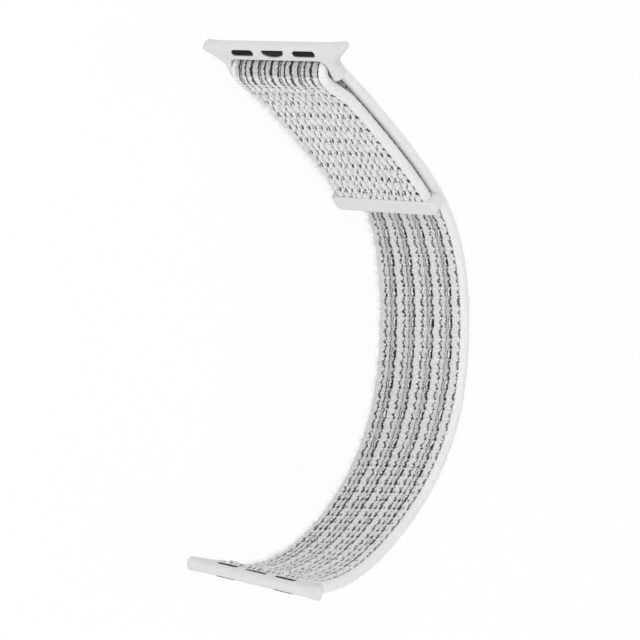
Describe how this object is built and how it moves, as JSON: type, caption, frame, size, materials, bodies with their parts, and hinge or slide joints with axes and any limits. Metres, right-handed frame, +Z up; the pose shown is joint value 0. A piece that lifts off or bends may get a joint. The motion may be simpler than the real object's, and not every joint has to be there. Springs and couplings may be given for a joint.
{
  "type": "watch strap",
  "caption": "Woven nylon watch strap with a fold-back hook-and-loop flap, moulded end tab and a hinged slide-in lug with a sprung latch at each end.",
  "frame": {"origin": "middle of the strap's footprint, on the surface that its edge lies on", "axes": "+X from the upper lug, with the flap, to the lower lug; +Z up along the strap's width; the hollow side faces -Y"},
  "size_m": [0.1068, 0.0636, 0.0336],
  "materials": {
    "white_weave": "woven, matt",
    "white_plastic": "satin",
    "hook_tape": "fine hooks",
    "bar_steel": "drawn",
    "spring_steel": "rolled",
    "latch_metal": "dark, satin",
    "black_elastomer": "matt"
  },
  "bodies": {
    "strap_middle": {"strap_middle_run": "white_weave"},
    "strap_upper": {"strap_upper_run": "white_weave"},
    "strap_lower": {"strap_lower_run": "white_weave"},
    "flap": {"strap_flap": "white_weave", "hook_pad": "hook_tape", "end_tab": "white_plastic"},
    "upper_lug": {"upper_lug_frame": "white_plastic", "upper_lug_bar": "bar_steel", "upper_lug_retaining_plate": "latch_metal", "upper_lug_latch_spring": "spring_steel", "upper_lug_bumper_a": "black_elastomer", "upper_lug_bumper_b": "black_elastomer"},
    "upper_latch": {"upper_lug_latch": "latch_metal"},
    "lower_lug": {"lower_lug_frame": "white_plastic", "lower_lug_bar": "bar_steel", "lower_lug_retaining_plate": "latch_metal", "lower_lug_latch_spring": "spring_steel", "lower_lug_bumper_a": "black_elastomer", "lower_lug_bumper_b": "black_elastomer"},
    "lower_latch": {"lower_lug_latch": "latch_metal"}
  },
  "joints": [
    {"name": "upper_flex", "type": "hinge", "parent": "strap_middle", "child": "strap_upper", "pos_m": [-0.0144, 0.02383, 0.01134], "axis": [-0.007, 0.1026, 0.9947], "range_deg": [-10, 20], "stiffness_Nm_per_rad": 0.04},
    {"name": "lower_flex", "type": "hinge", "parent": "strap_middle", "child": "strap_lower", "pos_m": [0.0309, 0.02466, 0.01176], "axis": [0.0449, -0.0541, -0.9975], "range_deg": [-10, 20], "stiffness_Nm_per_rad": 0.04},
    {"name": "flap_peel", "type": "hinge", "parent": "strap_upper", "child": "flap", "pos_m": [-0.04514, -0.02511, 0.01646], "axis": [0.0609, -0.1326, -0.9893], "range_deg": [0, 60]},
    {"name": "upper_lug_turn", "type": "hinge", "parent": "strap_upper", "child": "upper_lug", "pos_m": [-0.04704, -0.02443, 0.01648], "axis": [-0.0609, 0.1325, 0.9893], "range_deg": [-35, 55]},
    {"name": "upper_latch_press", "type": "slide", "parent": "upper_lug", "child": "upper_latch", "axis": [0.6911, -0.7095, 0.1376], "range_m": [0, 0.0006], "stiffness_N_per_m": 200, "springref_m": -0.0005, "deforming": ["upper_lug_latch_spring"]},
    {"name": "lower_lug_turn", "type": "hinge", "parent": "strap_lower", "child": "lower_lug", "pos_m": [0.05109, -0.01369, 0.01629], "axis": [0.0387, -0.1165, -0.9924], "range_deg": [-60, 60]},
    {"name": "lower_latch_press", "type": "slide", "parent": "lower_lug", "child": "lower_latch", "axis": [-0.9927, 0.1087, -0.0515], "range_m": [0, 0.0006], "stiffness_N_per_m": 200, "springref_m": -0.0005, "deforming": ["lower_lug_latch_spring"]}
  ]
}
